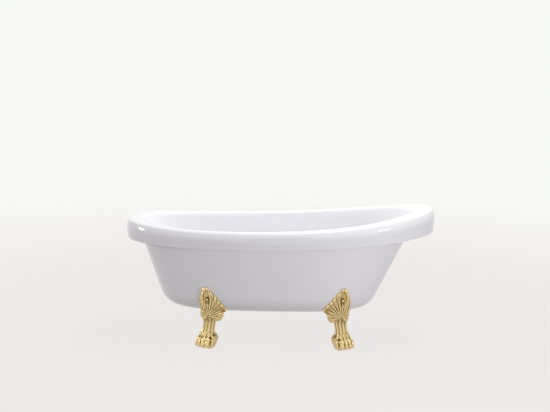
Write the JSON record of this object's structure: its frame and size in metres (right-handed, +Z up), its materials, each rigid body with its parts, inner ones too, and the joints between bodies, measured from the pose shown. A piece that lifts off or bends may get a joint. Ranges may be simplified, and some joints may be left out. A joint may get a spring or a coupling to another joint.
{
  "type": "clawfoot bathtub",
  "caption": "Slipper bath of two white skins with a deep rolled rim, raised at one end, on four gold claw feet, with a cable-operated pop-up waste and overflow",
  "frame": {"origin": "middle of the rim's outline, on the floor", "axes": "+X along the bath to its raised head end, +Z up, -Y the side towards the camera"},
  "size_m": [1.7, 0.75, 0.75],
  "materials": {
    "white_acrylic": "glossy white",
    "gold": "polished gold plate, dark in its hollows",
    "board": "raw chipboard",
    "zinc_steel": "zinc plated",
    "chrome_plate": "polished chrome",
    "black_rubber": "matte",
    "white_plastic": "satin",
    "grey_hose": "satin",
    "black_sheath": "satin"
  },
  "bodies": {
    "bath": {"basin_floor": "white_acrylic", "basin_front_foot_end": "white_acrylic", "basin_front_side": "white_acrylic", "basin_front_head_end": "white_acrylic", "basin_rear_foot_end": "white_acrylic", "basin_rear_side": "white_acrylic", "basin_rear_head_end": "white_acrylic", "outer_skirt": "white_acrylic", "floor_board": "board", "front_side_rail": "zinc_steel", "rear_side_rail": "zinc_steel", "foot_end_cross_rail": "zinc_steel", "head_end_cross_rail": "zinc_steel", "foot_bolts": "zinc_steel", "rail_nut_plates": "zinc_steel", "waste_flange": "chrome_plate", "waste_top_seal": "black_rubber", "waste_lower_seal": "black_rubber", "waste_body": "white_plastic", "waste_tail_pipe": "white_plastic", "overflow_bezel": "chrome_plate", "overflow_seal": "black_rubber", "overflow_body": "white_plastic", "overflow_hose": "grey_hose", "hose_nuts": "white_plastic", "cable_sheath": "black_sheath", "front_foot_end_foot": "gold", "front_head_end_foot": "gold", "rear_foot_end_foot": "gold", "rear_head_end_foot": "gold"},
    "knob": {"overflow_knob": "chrome_plate", "knob_spindle": "white_plastic"},
    "lifter": {"plug_lifter": "white_plastic"},
    "plug": {"plug_cap": "chrome_plate", "plug_seal": "black_rubber", "plug_stem": "zinc_steel"}
  },
  "joints": [
    {"name": "knob_turn", "type": "hinge", "parent": "bath", "child": "knob", "pos_m": [-0.71166, 0, 0.545], "axis": [0.8988, 0, 0.4384], "range_deg": [0, 90]},
    {"name": "lifter_slide", "type": "slide", "parent": "bath", "child": "lifter", "axis": [0, 0, 1], "range_m": [0, 0.012]},
    {"name": "plug_slide", "type": "slide", "parent": "bath", "child": "plug", "axis": [0, 0, 1], "range_m": [0, 0.012]}
  ],
  "couplings": [
    {"joint": "lifter_slide", "follows": "knob_turn", "m_per_rad": 0.00763},
    {"joint": "plug_slide", "follows": "knob_turn", "m_per_rad": 0.00763}
  ]
}
